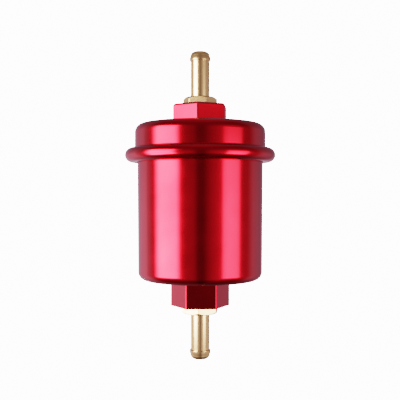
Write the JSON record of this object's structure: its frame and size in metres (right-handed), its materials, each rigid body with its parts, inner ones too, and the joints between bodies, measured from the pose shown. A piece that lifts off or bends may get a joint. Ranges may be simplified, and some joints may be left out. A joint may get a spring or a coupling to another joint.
{
  "type": "inline fuel filter",
  "caption": "Inline fuel filter: red anodised screw-together aluminium housing with a hose barb at each end and a pleated mesh cartridge inside.",
  "frame": {"origin": "on the filter's axis, level with the underside of the lid's bead, where the bracket band seats", "axes": "+Z along the filter's axis, from the outlet towards the inlet; -Y is the side that a flat of the bowl's hexagon faces"},
  "size_m": [0.0644, 0.0644, 0.1318],
  "materials": {
    "red_anodised": "satin, dyed anodising",
    "brass": "bright turned",
    "steel": "pressed sheet",
    "spring_steel": "drawn wire",
    "wire_mesh": "fine woven wire",
    "rubber": "matt moulded",
    "adhesive": "cured epoxy",
    "thread_tape": "stretched film"
  },
  "bodies": {
    "bowl_assembly": {"bowl": "red_anodised", "housing_o_ring": "rubber", "outlet_barb_fitting": "brass", "outlet_thread_tape": "thread_tape", "element_upper_end_cap": "steel", "element_upper_potting": "adhesive", "element_pleated_mesh": "wire_mesh", "element_seam_clip": "steel", "element_core_tube": "steel", "element_lower_potting": "adhesive", "element_lower_end_cap": "steel", "element_o_ring": "rubber", "element_spring": "spring_steel"},
    "washer_assembly": {"spring_washer": "steel"},
    "lid_assembly": {"lid": "red_anodised", "inlet_barb_fitting": "brass", "inlet_thread_tape": "thread_tape", "washer_retaining_clip": "spring_steel"}
  },
  "joints": [
    {"name": "lid_lift", "type": "slide", "parent": "bowl_assembly", "child": "washer_assembly", "axis": [0, 0, 1], "range_m": [0, 0.005], "deforming": ["element_spring"]},
    {"name": "lid_turn", "type": "hinge", "parent": "washer_assembly", "child": "lid_assembly", "pos_m": [0, 0, 0], "axis": [0, 0, 1], "range_deg": [0, 900]}
  ],
  "couplings": [
    {"joint": "lid_lift", "follows": "lid_turn", "m_per_rad": 0.0003183}
  ]
}
